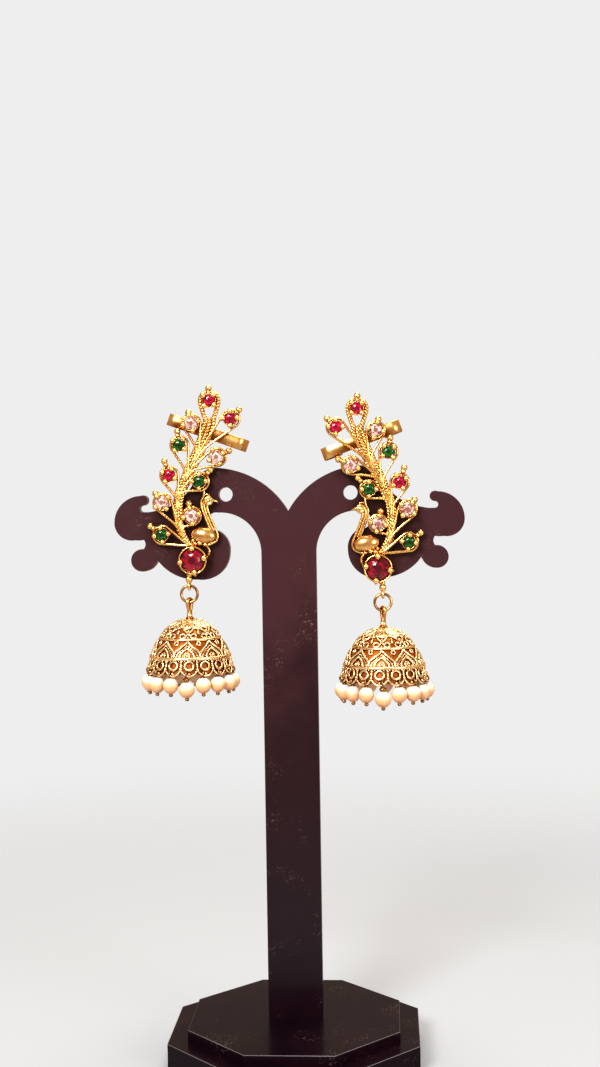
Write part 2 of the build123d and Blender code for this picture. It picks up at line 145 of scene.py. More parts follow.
def resample(path, spacing):
    """Points evenly spaced along an open path."""
    steps = np.linalg.norm(np.diff(path, axis=0), axis=1)
    run = np.concatenate([[0], np.cumsum(steps)])
    count = max(int(run[-1] / spacing), 2)
    at = np.linspace(0, run[-1], count + 1)
    return np.stack([np.interp(at, run, path[:, k]) for k in range(3)], axis=1)


def side_directions(path, closed):
    """Two directions square to a path, turning as little as they can along it."""
    if closed:
        tangents = unit(np.roll(path, -1, axis=0) - np.roll(path, 1, axis=0))
    else:
        tangents = unit(np.gradient(path, axis=0))
    side = square_to(tangents[0])[1]
    sides = [side]
    for tangent in tangents[1:]:
        side = unit(side - tangent * np.dot(side, tangent))
        sides.append(side)
    sides = np.array(sides)
    return sides, np.cross(tangents, sides)


class Work:
    """Collects the points and faces of one piece, in the left earring's frame."""

    def __init__(self):
        self.points = []
        self.faces = []
        self.count = 0

    def add(self, points, faces):
        points = np.asarray(points, float)
        self.points.append(points)
        self.faces += [tuple(int(i) + self.count for i in face) for face in faces]
        self.count += len(points)

    def skin(self, rings, closed):
        """Join rings of points into a tube, with flat ends unless it is closed."""
        rings = np.asarray(rings)
        count, sides = rings.shape[:2]
        faces = []
        for i in range(count if closed else count - 1):
            a, b = i * sides, ((i + 1) % count) * sides
            for k in range(sides):
                n = (k + 1) % sides
                faces.append((a + k, a + n, b + n, b + k))
        if not closed:
            faces.append(tuple(range(sides))[::-1])
            faces.append(tuple((count - 1) * sides + k for k in range(sides)))
        self.add(rings.reshape(-1, 3), faces)

    def tube(self, path, radius, sides=8, closed=False):
        """A round wire along a path; its radius is one number, or one for each point."""
        path = np.asarray(path, float)
        radius = np.broadcast_to(radius, len(path))[:, None, None]
        first, second = side_directions(path, closed)
        turn = full_turn(sides)
        offsets = (np.cos(turn)[None, :, None] * first[:, None, :]
                   + np.sin(turn)[None, :, None] * second[:, None, :])
        self.skin(path[:, None, :] + radius * offsets, closed)

    def strip(self, path, outward, width, height):
        """An open bar of bevelled rectangular section; outward is the way its face looks."""
        tangents = unit(np.gradient(path, axis=0))
        across = unit(np.cross(tangents, outward))
        face = np.cross(across, tangents)
        w, h = width / 2, height / 2
        bevel = 0.3 * min(w, h)
        section = ((w, h - bevel), (w - bevel, h), (bevel - w, h), (-w, h - bevel),
                   (-w, bevel - h), (bevel - w, -h), (w - bevel, -h), (w, bevel - h))
        rings = [path + across * a + face * b for a, b in section]
        self.skin(np.stack(rings, axis=1), closed=False)

    def ball(self, centre, radius, squash=(1, 1, 1), rings=8, sides=12, turn=None):
        """A ball, or an egg when squashed, with its poles on Z before it is turned."""
        tilt, around = np.meshgrid(math.pi * np.arange(1, rings) / rings, full_turn(sides),
                                   indexing="ij")
        belt = np.stack([np.sin(tilt) * np.cos(around), np.sin(tilt) * np.sin(around),
                         np.cos(tilt)], axis=-1).reshape(-1, 3)
        points = np.vstack([(0, 0, 1), belt, (0, 0, -1)]) * squash * radius
        faces = [(0, 1 + k, 1 + (k + 1) % sides) for k in range(sides)]
        for i in range(rings - 2):
            a = 1 + i * sides
            for k in range(sides):
                n = (k + 1) % sides
                faces.append((a + k, a + sides + k, a + sides + n, a + n))
        last = len(points) - 1
        a = last - sides
        faces += [(last, a + (k + 1) % sides, a + k) for k in range(sides)]
        if turn is not None:
            points = points @ np.array(turn).T
        self.add(points + np.asarray(centre, float), faces)

    def hoop(self, centre, radius, wire, axis, steps, sides):
        """A round wire bent into a ring about an axis."""
        axis, first, second = square_to(axis)
        a = full_turn(steps)[:, None]
        path = np.asarray(centre) + radius * (np.cos(a) * first + np.sin(a) * second)
        self.tube(path, wire, sides, closed=True)

    def lathe(self, profile, centre, axis, steps):
        """Turn a closed loop of (radius, distance along the axis) about an axis."""
        axis, first, second = square_to(axis)
        rings = []
        for a in full_turn(steps):
            out = math.cos(a) * first + math.sin(a) * second
            rings.append([np.asarray(centre) + out * r + axis * d for r, d in profile])
        self.skin(rings, closed=True)

    def add_moved(self, other, matrix):
        """Add another piece's shape, moved by a 4x4 matrix."""
        matrix = np.array(matrix)
        points = np.vstack(other.points) @ matrix[:3, :3].T
        self.add(points + matrix[:3, 3], other.faces)


# ---- places ----
def centre_of(node):
    low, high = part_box(node)
    return (Vector(low) + Vector(high)) / 2


def earring_origin(side):
    """The point behind the large ruby on the arm's front face, in metres."""
    ruby = centre_of(f"{side}_ruby")
    arm_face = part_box("stand_plate")[0][1]
    return Vector((ruby.x, arm_face, ruby.z))


def hang_point():
    """The jump ring's centre in the earring's frame, in millimetres."""
    offset = (centre_of("left_jump_ring") - earring_origin("left")) / MM
    return np.array(offset)


RING = hang_point()
APEX = RING + (0, 0, -APEX_DROP)


def spot(x, z, depth):
    """A point so deep in front of the arm."""
    return np.array((x, -depth, z))


def spots(rows, depth=WIRE_DEPTH):
    return np.array([spot(x, z, depth) for x, z in rows])


def link(name, data):
    """Put an object into the scene."""
    made = bpy.data.objects.new(name, data)
    bpy.context.scene.collection.objects.link(made)
    return made


def make_piece(name, work, side, body, material, nodes, smooth=True):
    """Turn collected points into an object of one side, put it under its body, and hide the CAD
    nodes it stands for.
    """
    flip = -1 if side == "right" else 1
    points = np.vstack(work.points) * (flip, 1, 1) * MM + np.array(earring_origin(side))
    faces = [face[::flip] for face in work.faces]
    mesh = bpy.data.meshes.new(f"{side}_{name}")
    mesh.from_pydata(points.tolist(), [], faces)
    mesh.validate()
    if smooth:
        mesh.shade_smooth()
    mesh.materials.append(material)
    piece = link(f"{side}_{name}", mesh)
    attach(piece, body)
    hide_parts(*nodes)


# ---- materials ----
WHITE = (1.0, 1.0, 1.0)
BLACK = (0.0, 0.0, 0.0)
STAND_HEIGHT = 0.108         # metres


class Nodes:
    """A short way to build a material: any value may be a node's output or a plain number."""

    def __init__(self, name):
        self.material = bpy.data.materials.new(name)
        self.material.use_nodes = True
        self.tree = self.material.node_tree
        self.shader = self.tree.nodes["Principled BSDF"]

    def node(self, kind, **settings):
        """Make a node; a setting goes to the input of that name, or else to the property."""
        made = self.tree.nodes.new(kind)
        for key, value in settings.items():
            if key in made.inputs:
                made.inputs[key].default_value = value
            else:
                setattr(made, key, value)
        return made

    def feed(self, socket, value):
        if isinstance(value, bpy.types.NodeSocket):
            self.tree.links.new(value, socket)
        else:
            socket.default_value = value

    def calc(self, operation, *values):
        made = self.node("ShaderNodeMath", operation=operation)
        for socket, value in zip(made.inputs, values):
            self.feed(socket, value)
        return made.outputs["Value"]

    def dot(self, first, second):
        made = self.node("ShaderNodeVectorMath", operation="DOT_PRODUCT")
        self.feed(made.inputs[0], first)
        self.feed(made.inputs[1], second)
        return made.outputs["Value"]

    def place(self, kind):
        """The object's own coordinates, or its normals."""
        return self.node("ShaderNodeTexCoord").outputs[kind]

    def upward(self, kind):
        """The Z part of a place or normal."""
        split = self.node("ShaderNodeSeparateXYZ")
        self.feed(split.inputs["Vector"], self.place(kind))
        return split.outputs["Z"]

    def ramp(self, source, *stops):
        """Colours at places between 0 and 1."""
        made = self.node("ShaderNodeValToRGB")
        elements = made.color_ramp.elements
        while len(elements) < len(stops):
            elements.new(0.5)
        for element, (place, colour) in zip(elements, stops):
            element.position = place
            element.color = (*colour, 1)
        self.feed(made.inputs["Fac"], source)
        return made.outputs["Color"]

    def noise(self, scale, detail=3.0):
        """Noise over the object's own metres; scale is in waves per metre."""
        made = self.node("ShaderNodeTexNoise", Scale=scale, Detail=detail)
        self.feed(made.inputs["Vector"], self.place("Object"))
        return made.outputs["Fac"]

    def spread(self, source, low, high, source_low=0.0, source_high=1.0):
        """Stretch a value from its own range to another."""
        made = self.node("ShaderNodeMapRange")
        for key, value in (("Value", source), ("From Min", source_low), ("From Max", source_high),
                           ("To Min", low), ("To Max", high)):
            self.feed(made.inputs[key], value)
        return made.outputs["Result"]

    def blend(self, share, first, second):
        """The first colour, going over to the second as share rises to 1."""
        made = self.node("ShaderNodeMix", data_type="RGBA")
        for index, value in ((0, share), (6, first), (7, second)):
            self.feed(made.inputs[index], value)
        return made.outputs[2]

    def openness(self, reach, samples):
        """1 in the open, falling to 0 where other surfaces crowd in within reach metres."""
        return self.node("ShaderNodeAmbientOcclusion", Distance=reach,
                         samples=samples).outputs["AO"]

    def bump(self, source, distance):
        made = self.node("ShaderNodeBump", Strength=1.0, Distance=distance)
        self.feed(made.inputs["Height"], source)
        self.set(Normal=made.outputs["Normal"])

    def set(self, **values):
        """Feed the shader's sockets, whose names have spaces for the underscores here."""
        for key, value in values.items():
            self.feed(self.shader.inputs[key.replace("_", " ")], value)


def gold(name, bright, deep, reach, roughness, bump=0.00003, grain=900.0, drift=0.22, top=0.95):
    """Polished gold plate with painted shade: warmer and darker where it is tucked in and on its
    undersides.

    Grain and drift are the fineness and strength of its uneven colour, and top is the openness
    at which it is fully bright.
    """
    m = Nodes(name)
    # Painted shade: darker where other surfaces crowd in and on the undersides.
    lean = m.calc("MULTIPLY_ADD", m.upward("Normal"), 0.20, m.openness(reach, 8))
    # Ramps end at 1 and the sum goes past it, so both are halved.
    shade = m.calc("MULTIPLY", m.calc("MULTIPLY_ADD", m.noise(grain), drift, lean), 0.5)
    middle = tuple(0.45 * b + 0.55 * d for b, d in zip(bright, deep))
    colour = m.ramp(shade, (top / 2 - 0.35, deep), (top / 2 - 0.16, middle), (top / 2, bright))
    m.set(Metallic=1.0, Specular_Tint=(1.0, 0.64, 0.34, 1), Base_Color=colour,
          Roughness=m.spread(m.noise(2500.0), roughness * 0.7, roughness * 1.4))
    m.bump(m.noise(3500.0, 2.0), bump)
    return m.material


def stone(name, base, light, transmission):
    """A clear faceted stone: each facet is painted lighter or darker by the way it faces, as
    painted glints and shade.
    """
    m = Nodes(name)
    # Painted glints and shade: each facet's shade is fixed by its normal.
    facet = m.calc("FRACT", m.dot(m.place("Normal"), (5.3, 3.8, 7.7)))
    shade = m.calc("MULTIPLY_ADD", m.noise(1600.0), 0.30, facet)
    m.set(Roughness=0.05, IOR=1.76, Transmission_Weight=transmission, Coat_Weight=0.04,
          Coat_Roughness=0.03, Specular_IOR_Level=0.07,
          Base_Color=m.ramp(shade, (0.28, base), (1.0, light)))
    return m.material


def pearl():
    """Nacre with painted light and shade: cream above, warmer and darker below, with a soft coat.
    """
    m = Nodes("pearl_nacre")
    # Painted light and shade by the normal's height: paler on top, warmer and darker below.
    drift = m.calc("MULTIPLY_ADD", m.noise(700.0), 0.5, m.upward("Normal"))
    level = m.spread(drift, 0.0, 1.0, -1.0, 1.4)
    colour = m.ramp(level, (0.20, (0.60, 0.25, 0.08)), (0.50, (0.84, 0.46, 0.22)),
                    (0.70, (0.95, 0.76, 0.52)), (0.92, (1.0, 0.91, 0.78)))
    m.set(Roughness=0.28, Coat_Weight=0.6, Coat_Roughness=0.12, Subsurface_Weight=0.25,
          Subsurface_Scale=0.0006, Base_Color=colour)
    m.bump(m.noise(1800.0), 0.00003)
    return m.material


def painted_edge_highlight(m, width):
    """Up to 1 along upper edges, mostly the front ones, and 0 elsewhere: the mask of a painted
    edge highlight.
    """
    rounded = m.node("ShaderNodeBevel", Radius=width, samples=8).outputs["Normal"]
    turn = m.dot(rounded, m.node("ShaderNodeNewGeometry").outputs["Normal"])
    edge = m.ramp(turn, (0.86, WHITE), (0.985, BLACK))
    front = m.ramp(m.dot(rounded, (0.0, -0.55, 0.83)), (0.60, BLACK), (0.95, WHITE))
    return m.calc("MULTIPLY", edge, front)


def acrylic(name, shine, edge_width):
    """Glossy dark acrylic with faint clouding, patches of dust and a painted highlight along its
    upper edges.

    It has painted shade: darker towards the foot, and almost black high up, close behind the
    jewellery, as a painted contact shadow.
    """
    m = Nodes(name)
    level = m.spread(m.upward("Object"), 0.0, 1.0, 0.0, STAND_HEIGHT)
    # Clouding noise plus painted shade: darker towards the foot by height.
    cloud_and_painted_shade = m.calc("MULTIPLY_ADD", m.noise(90.0, 6.0), 0.5, level)
    colour = m.ramp(cloud_and_painted_shade, (0.25, (0.004, 0.001, 0.003)), (0.80, (0.014, 0.004, 0.006)),
                    (1.0, (0.036, 0.011, 0.014)))
    speck = m.ramp(m.noise(2400.0, 2.0), (0.60, BLACK), (0.68, WHITE))
    dusty = m.ramp(m.noise(110.0, 3.0), (0.55, BLACK), (0.72, (0.3, 0.3, 0.3)))
    # Painted contact shadow: almost black where the jewellery crowds in close.
    painted_contact_shade = m.ramp(m.openness(0.0045, 12), (0.50, WHITE), (0.93, BLACK))
    uneven = m.spread(m.noise(60.0), 0.2, 1.0)
    layers = (
        # strength, colour laid over the last
        (m.calc("MULTIPLY", speck, dusty), (0.30, 0.20, 0.17, 1)),
        # painted contact shadow, fading out towards the foot
        (m.calc("MULTIPLY", painted_contact_shade, level), (0.0110, 0.0008, 0.0003, 1)),
        # painted highlight along the upper front edges
        (m.calc("MULTIPLY", painted_edge_highlight(m, edge_width), uneven), (0.34, 0.29, 0.30, 1)),
    )
    for share, over in layers:
        colour = m.blend(share, colour, over)
    m.set(Coat_Weight=0.03, Coat_Roughness=0.08, Specular_IOR_Level=shine, Base_Color=colour,
          Roughness=m.spread(m.noise(400.0, 6.0), 0.16, 0.32))
    m.bump(m.noise(90.0, 4.0), 0.00004)
    return m.material


WIRE_GOLD = gold("wire_gold", (1.0, 0.645, 0.20), (0.44, 0.105, 0.010), reach=0.0013,
                 roughness=0.18, grain=700.0, drift=0.90, top=1.38)
BELL_GOLD = gold("bell_gold", (1.0, 0.73, 0.39), (0.62, 0.19, 0.025), reach=0.0006,
                 roughness=0.22, top=0.84)
SKIRT_GOLD = gold("skirt_gold", (1.0, 0.68, 0.34), (0.55, 0.14, 0.02), reach=0.0006,
                  roughness=0.22)
# Painted shade: a darker copy of the gold for the recessed wall between the bell's wires.
SHADED_RECESS_GOLD = gold("shaded_recess_gold", (0.46, 0.12, 0.014), (0.17, 0.027, 0.003), reach=0.0009,
                   roughness=0.38)
# Painted shadow: an almost dark copy of the gold for the wall behind the skirt's rings.
SHADOW_GOLD = gold("shadow_gold", (0.30, 0.075, 0.014), (0.06, 0.010, 0.003), reach=0.0010,
                   roughness=0.50)
CLIP_GOLD = gold("clip_gold", (0.84, 0.47, 0.15), (0.22, 0.055, 0.010), reach=0.0015,
                 roughness=0.26, bump=0.00001, grain=300.0, drift=1.6, top=2.05)
BODY_GOLD = gold("body_gold", (1.0, 0.58, 0.20), (0.34, 0.08, 0.012), reach=0.0012,
                 roughness=0.20, bump=0.00001, grain=420.0, drift=1.2, top=1.72)
# Painted shade: the head pins are a dark copy of the gold, as if in shadow.
SHADED_PIN_GOLD = gold("shaded_pin_gold", (0.30, 0.15, 0.05), (0.08, 0.03, 0.008), reach=0.0008,
                roughness=0.26)
RUBY = stone("ruby_stone", (0.10, 0.0, 0.006), (0.70, 0.003, 0.06), 0.25)
DEEP_RUBY = stone("deep_ruby_stone", (0.045, 0.0, 0.003), (0.35, 0.0, 0.018), 0.30)
EMERALD = stone("emerald_stone", (0.001, 0.010, 0.001), (0.010, 0.13, 0.014), 0.20)
CRYSTAL = stone("crystal_stone", (0.26, 0.06, 0.035), (1.0, 0.76, 0.68), 0.30)
PEARL = pearl()
PLATE_ACRYLIC = acrylic("plate_acrylic", shine=0.14, edge_width=0.00010)
FOOT_ACRYLIC = acrylic("foot_acrylic", shine=0.03, edge_width=0.00030)


# ---- spray: stem and leaves ----
def bent_wire(work, rows, depth, radius, steps=8, spacing=0.15, sides=10):
    """A wire through rows of (x, z) at one depth."""
    line = smooth_line(spots(rows, depth), steps)
    work.tube(resample(line, spacing), radius, sides)


def stem_line():
    return smooth_line(spots(STEM_ROUTE), 10)


def stem_at(z):
    """The point of the stem at a height."""
    line = stem_line()
    return np.array([np.interp(z, line[:, 2], line[:, k]) for k in range(3)])


def twisted(work, line, strand_r, spread, pitch):
    """Three strands wound round a centre line like a rope; pitch is the length of a turn."""
    strands = 3
    spacing = 0.13
    path = resample(line, spacing)
    first, second = side_directions(path, False)
    run = np.arange(len(path)) * spacing
    taper = np.clip(np.minimum(run, run[-1] - run) / 0.8, 0.3, 1)[:, None]
    for k in range(strands):
        a = (2 * math.pi * (k / strands + run / pitch))[:, None]
        work.tube(path + taper * spread * (np.cos(a) * first + np.sin(a) * second), strand_r, 7)


def stem():
    """Two ropes that part near the top and meet again over the top ruby, and one between them."""
    work = Work()
    line = stem_line()
    x, z = TOP_RUBY[1], TOP_RUBY[2]
    for way in (-1, 1):
        away = np.linspace(0.30, 0.80, len(line))[:, None] * (way, 0, -0.25 * way)
        rows = [(x - 0.05 + way * r, z + h) for r, h in
                ((0.72, -3.5), (1.22, -1.9), (1.66, -0.1), (1.25, 1.15), (0.45, 1.70))]
        path = np.vstack([(line + away)[::10], spots(rows, WIRE_DEPTH + 0.1)])
        twisted(work, smooth_line(path, 6), 0.22, 0.24, 1.7)
    middle = np.vstack([line[::10], spots([(x - 0.02, z - 3.0)], WIRE_DEPTH)])
    twisted(work, smooth_line(middle, 6), 0.25, 0.27, 1.9)
    return work


def leaf_wires(work, x, z, root_x, root_z, stem_z):
    """Two wires that leave the stem together and close in a loop round the collet."""
    centre = np.array((x, z))
    root = np.array((root_x, root_z))
    heading = unit(centre - root)
    side = np.array((-heading[1], heading[0]))
    length = np.linalg.norm(centre - root)
    open_angle = math.acos(min(LEAF_R / length, 0.95))
    loop = []
    for a in np.linspace(open_angle, 2 * math.pi - open_angle, 15):
        loop.append(centre + LEAF_R * (-heading * math.cos(a) + side * math.sin(a)))
    start = stem_at(stem_z)
    base = np.array((start[0], start[2]))
    lift = unit(root - base)
    rows = [base + side * 0.20, root + side * 0.27 - lift * 0.2] + loop
    rows += [root - side * 0.27 - lift * 0.2, base - side * 0.20]
    depths = np.full(len(rows), WIRE_DEPTH + 0.15)
    depths[[0, -1]] = WIRE_DEPTH + 0.45
    depths[[1, -2]] = WIRE_DEPTH + 0.35
    path = np.array([spot(px, pz, depth) for (px, pz), depth in zip(rows, depths)])
    work.tube(resample(smooth_line(path, 5), 0.2), LEAF_WIRE_R, 8)


def leaf_balls(work, x, z, ball_x, ball_z):
    """The bead at the leaf's tip and the smaller one it stands on."""
    tip = spot(ball_x, ball_z, WIRE_DEPTH + 0.3)
    away = unit(tip - spot(x, z, WIRE_DEPTH + 0.3))
    work.ball(tip, 0.60, rings=10, sides=16)
    work.ball(tip - away * 0.70, 0.48)
    work.tube([tip - away * 1.2, tip], 0.24, 8)


def leaves():
    work = Work()
    for kind, x, z, ball_x, ball_z, root_x, root_z, stem_z in LEAVES:
        leaf_wires(work, x, z, root_x, root_z, stem_z)
    for kind, x, z, ball_x, ball_z in SETTINGS:
        leaf_balls(work, x, z, ball_x, ball_z)
    return work


def claw(work, centre, angle, rows, steps, wire, sides, bead):
    """A beaded claw through rows of (distance out, depth); bead is the ball's own measures."""
    a = math.radians(angle)
    out = np.array((math.cos(a), 0, math.sin(a)))
    path = [centre + out * r - (0, d, 0) for r, d in rows]
    work.tube(smooth_line(path, steps), wire, sides)
    work.ball(path[-1] + out * 0.08, *bead)


def collet(work, x, z, turn, size):
    """A small basket setting with four beaded claws."""
    profile = ((0.70, 0.35), (1.10, 0.8), (1.30, 1.45), (1.32, 1.80), (1.25, 1.88),
               (1.17, 1.80), (1.12, 1.45), (0.85, 0.95), (0.50, 0.42))
    rows = ((0.90, 0.5), (1.30, 1.1), (1.48, 1.75), (1.40, 2.20), (1.20, 2.38))
    profile, rows = ([(r * size, d) for r, d in part] for part in (profile, rows))
    centre = np.array((x, 0, z))
    work.lathe(profile, centre, FORWARD, 28)
    for k in range(4):
        claw(work, centre, turn + 90 * k, rows, 4, 0.25, 8, (0.47, (1, 0.85, 1), 9, 14))


def settings():
    """Claws stand between the leaf's axes on coloured stones and on them for crystals."""
    work = Work()
    for kind, x, z, ball_x, ball_z in SETTINGS:
        heading = math.degrees(math.atan2(ball_z - z, ball_x - x))
        if kind == "crystal":
            collet(work, x, z, heading, CRYSTAL_R / STONE_R)
        else:
            collet(work, x, z, heading + 45, 1.0)
    return work


def bezel():
    """The big ruby's setting: a cup with a thin bright lip and four beaded claws."""
    work = Work()
    profile = ((1.6, 0.3), (2.30, 0.32), (2.52, 0.9), (2.60, 1.9), (2.58, 2.22), (2.46, 2.30),
               (2.30, 2.24), (2.22, 1.8), (2.1, 1.1), (1.5, 0.6))
    work.lathe(profile, (0, 0, 0), FORWARD, 56)
    rows = ((2.2, 0.5), (2.62, 1.2), (2.66, 2.0), (2.42, 2.62), (2.12, 2.86))
    for angle in (11, 90, 188, 280):
        claw(work, np.zeros(3), angle, rows, 5, 0.30, 10, (0.52, (1, 0.8, 1), 10, 16))
    work.tube([(0, -0.5, 0), (0, STUD_LENGTH - 0.25, 0), (0, STUD_LENGTH, 0)],
              (STUD_WIRE_R, STUD_WIRE_R, STUD_WIRE_R * 0.6), 14)
    return work


def grains():
    """Solder grains and short wires where the stem meets the bezel."""
    work = Work()
    table = (
        # x, z, depth, radius
        (0.60, 4.10, 1.2, 0.42), (1.30, 3.12, 1.5, 0.52), (2.30, 2.85, 1.4, 0.40),
        (-0.40, 2.90, 1.3, 0.46), (0.45, 3.00, 1.6, 0.46), (-0.95, 3.50, 1.1, 0.40),
        (0.05, 3.60, 1.3, 0.40),
    )
    for x, z, depth, radius in table:
        work.ball(spot(x, z, depth), radius)
    for rows in (((-0.2, 2.5), (0.15, 3.6), (0.35, 4.9), (0.75, 5.5)),
                 ((-0.1, 2.6), (0.8, 3.0), (2.0, 2.95), (3.1, 2.75)),
                 ((1.7, 2.95), (2.65, 2.45), (3.05, 1.60), (2.80, 0.85)),
                 ((0.3, 2.9), (0.9, 3.9), (1.1, 4.9), (0.7, 5.7)),
                 ((-0.7, 2.5), (-1.1, 3.9), (-1.9, 5.2))):
        bent_wire(work, rows, 1.2, 0.21, steps=6, spacing=0.2, sides=8)
    return work


def peacock_body():
    """The peacock's round glossy body, turned a little down at the tail."""
    work = Work()
    tilt = Matrix.Rotation(math.radians(9), 3, "Y")
    work.ball(spot(2.05, 4.52, 1.45), 1.0, (2.30, 1.05, 1.50), 20, 28, tilt)
    return work


def peacock():
    """A long neck of wires, and a small ring of a head with eye, beak and crest."""
    work = Work()
    outer = ((2.75, 10.45), (2.75, 9.40), (3.25, 7.90), (3.95, 6.20), (4.52, 4.75),
             (4.42, 3.70), (3.60, 3.05), (2.40, 2.72))
    inner = ((2.20, 12.70), (2.12, 11.60), (1.66, 10.55), (1.85, 9.20), (2.35, 7.70),
             (2.95, 6.20), (3.20, 5.30))
    middle = ((2.30, 11.0), (2.12, 9.9), (2.45, 8.50), (3.05, 7.00), (3.65, 5.60))
    bent_wire(work, outer, 1.15, 0.23)
    bent_wire(work, inner, 1.05, 0.20)
    bent_wire(work, middle, 0.95, 0.30)
    head = spot(3.02, 10.80, 1.25)
    work.hoop(head, 0.58, 0.32, FORWARD, 28, 12)
    work.ball(head + (0, 0.30, 0), 0.62, rings=8, sides=14)
    beak = smooth_line([head + (0.35, -0.1, 0.15), head + (1.05, -0.1, 0.0),
                        head + (1.72, 0, -0.25)], 6)
    work.tube(beak, np.linspace(0.42, 0.06, len(beak)), 12)
    crest = ((2.30, 11.85), (2.75, 11.95), (3.25, 11.75))
    bent_wire(work, crest, 1.2, 0.16, steps=6, sides=8)
    return work


def cuff_clip():
    """Flat strip behind the leaves, bent back at both ends and open behind."""
    work = Work()
    start, end = (np.array(p) for p in CLIP_ENDS)
    along = unit(end - start)
    half = np.linalg.norm(end - start) / 2 - CLIP_THICK / 2
    r = CLIP_CORNER_R - CLIP_THICK / 2
    front = -(ARM_GAP + CLIP_THICK / 2)
    back = front + CLIP_DEPTH - CLIP_THICK

    def corner(u, y, first):
        angles = np.radians(np.linspace(first, first + 90, 9))
        return [(u + r * math.cos(a), y + r * math.sin(a)) for a in angles]

    plan = [(CLIP_MOUTH / 2, back)]
    plan += corner(half - r, back - r, 0)[::-1]
    plan += corner(half - r, front + r, 270)[::-1]
    plan += corner(r - half, front + r, 180)[::-1]
    plan += corner(r - half, back - r, 90)[::-1]
    plan += [(-CLIP_MOUTH / 2, back)]
    middle = (start + end) / 2
    path = np.array([(middle[0] + along[0] * u, y, middle[1] + along[1] * u) for u, y in plan])
    up = np.array((-along[1], 0, along[0]))
    tangents = unit(np.gradient(path, axis=0))
    work.strip(path, np.cross(tangents, up), CLIP_WIDTH, CLIP_THICK)
    return work


def link_eye():
    """Beads and an eye under the bezel."""
    work = Work()
    centre = RING + (0, 0, RING_R)
    work.hoop(centre, EYE_R, 0.27, (1, 0, 0), 32, 12)
    work.ball(centre + (0, 0, 1.18), 0.68, (0.95, 0.95, 1.05), 12, 18)
    work.ball(centre + (0.10, 0, 1.98), 0.54, (1, 1, 0.85), 10, 16)
    work.hoop(centre + (0, 0, 0.72), 0.36, 0.15, UP, 20, 8)
    return work


# ---- stones ----
def cut_stone(work, centre, radius, turn):
    """A round stone: a small table, rows of facets round it, a girdle and a pavilion."""
    rows = (
        # radius share, height share, corners, offset in steps
        (0.36, 0.35, 8, 0.0), (0.60, 0.30, 8, 0.5), (0.82, 0.18, 8, 0.0), (1.00, 0.02, 16, 0.0),
        (1.00, -0.05, 16, 0.0), (0.55, -0.42, 8, 0.5), (0.02, -0.70, 4, 0.0),
    )
    shape = bmesh.new()
    for share, height, corners, offset in rows:
        for k in range(corners):
            a = 2 * math.pi * (k + offset) / corners + math.radians(turn)
            point = centre + radius * np.array((share * math.cos(a), -height, share * math.sin(a)))
            shape.verts.new(point)
    bmesh.ops.convex_hull(shape, input=shape.verts)
    loose = [v for v in shape.verts if not v.link_faces]
    bmesh.ops.delete(shape, geom=loose, context="VERTS")
    bmesh.ops.dissolve_limit(shape, angle_limit=0.01, verts=shape.verts, edges=shape.edges)
    bmesh.ops.recalc_face_normals(shape, faces=shape.faces)
    shape.verts.index_update()
    work.add([v.co[:] for v in shape.verts], [[v.index for v in f.verts] for f in shape.faces])
    shape.free()


def small_stones(wanted):
    work = Work()
    for kind, x, z, *_ in SETTINGS:
        if kind == wanted:
            radius = CRYSTAL_R if kind == "crystal" else STONE_R
            turn = 11 * x + 7 * z  # by its place, so that no two show the same facets
            cut_stone(work, spot(x, z, STONE_DEPTH), radius, turn)
    return work


def big_ruby():
    work = Work()
    cut_stone(work, spot(0, 0, RUBY_DEPTH), RUBY_R, 9)
    return work


# ---- bell ----
def arc_through(a, b, c):
    """Points of the circle's arc from a through b to c."""
    (ax, ay), (bx, by), (cx, cy) = a, b, c
    d = 2 * (ax * (by - cy) + bx * (cy - ay) + cx * (ay - by))
    ux = ((ax * ax + ay * ay) * (by - cy) + (bx * bx + by * by) * (cy - ay)
          + (cx * cx + cy * cy) * (ay - by)) / d
    uy = ((ax * ax + ay * ay) * (cx - bx) + (bx * bx + by * by) * (ax - cx)
          + (cx * cx + cy * cy) * (bx - ax)) / d
    r = math.hypot(ax - ux, ay - uy)
    t = np.unwrap([math.atan2(y - uy, x - ux) for x, y in (a, b, c)])
    angles = np.linspace(t[0], t[2], 40)
    return np.stack([ux + r * np.cos(angles), uy + r * np.sin(angles)], axis=1)


def dome_section():
    """The dome's outline as (radius, depth): two arcs, the straight rim and the lace's hem."""
    upper = arc_through(CROWN, SHOULDER_MID, SHOULDER)
    lower = arc_through(SHOULDER, FLANK_MID, FLANK)
    return np.vstack([[(0.0, 0.0)], upper, lower[1:], [RIM, HEM]])


SECTION = dome_section()
RUN = np.concatenate([[0], np.cumsum(np.linalg.norm(np.diff(SECTION, axis=0), axis=1))])


def run_at(depth):
    """Distance along the section at a depth."""
    return float(np.interp(depth, SECTION[:, 1], RUN))


def dome_radius(run):
    return np.interp(run, RUN, SECTION[:, 0])


def dome_depth(run):
    return np.interp(run, RUN, SECTION[:, 1])


def on_dome(angle, run, lift):
    """Points on the dome: degrees from the front, distance down its section, and height off."""
    angle, run = np.broadcast_arrays(np.asarray(angle, float), np.asarray(run, float))
    step = 0.05
    dr = dome_radius(run + step) - dome_radius(run - step)
    dz = dome_depth(run + step) - dome_depth(run - step)
    size = np.hypot(dr, dz)
    radius = dome_radius(run) + lift * dz / size
    depth = dome_depth(run) - lift * dr / size
    a = np.radians(angle - 90)
    points = np.stack([radius * np.cos(a), radius * np.sin(a), -depth], axis=-1)
    return points + APEX


def patch(angle, run, rows, lift):
    """A small drawing laid on the dome: rows of (across, down) millimetres about a place."""
    rows = np.asarray(rows, float)
    runs = run + rows[:, 1]
    angles = angle + np.degrees(rows[:, 0] / dome_radius(run))
    return on_dome(angles, runs, lift)


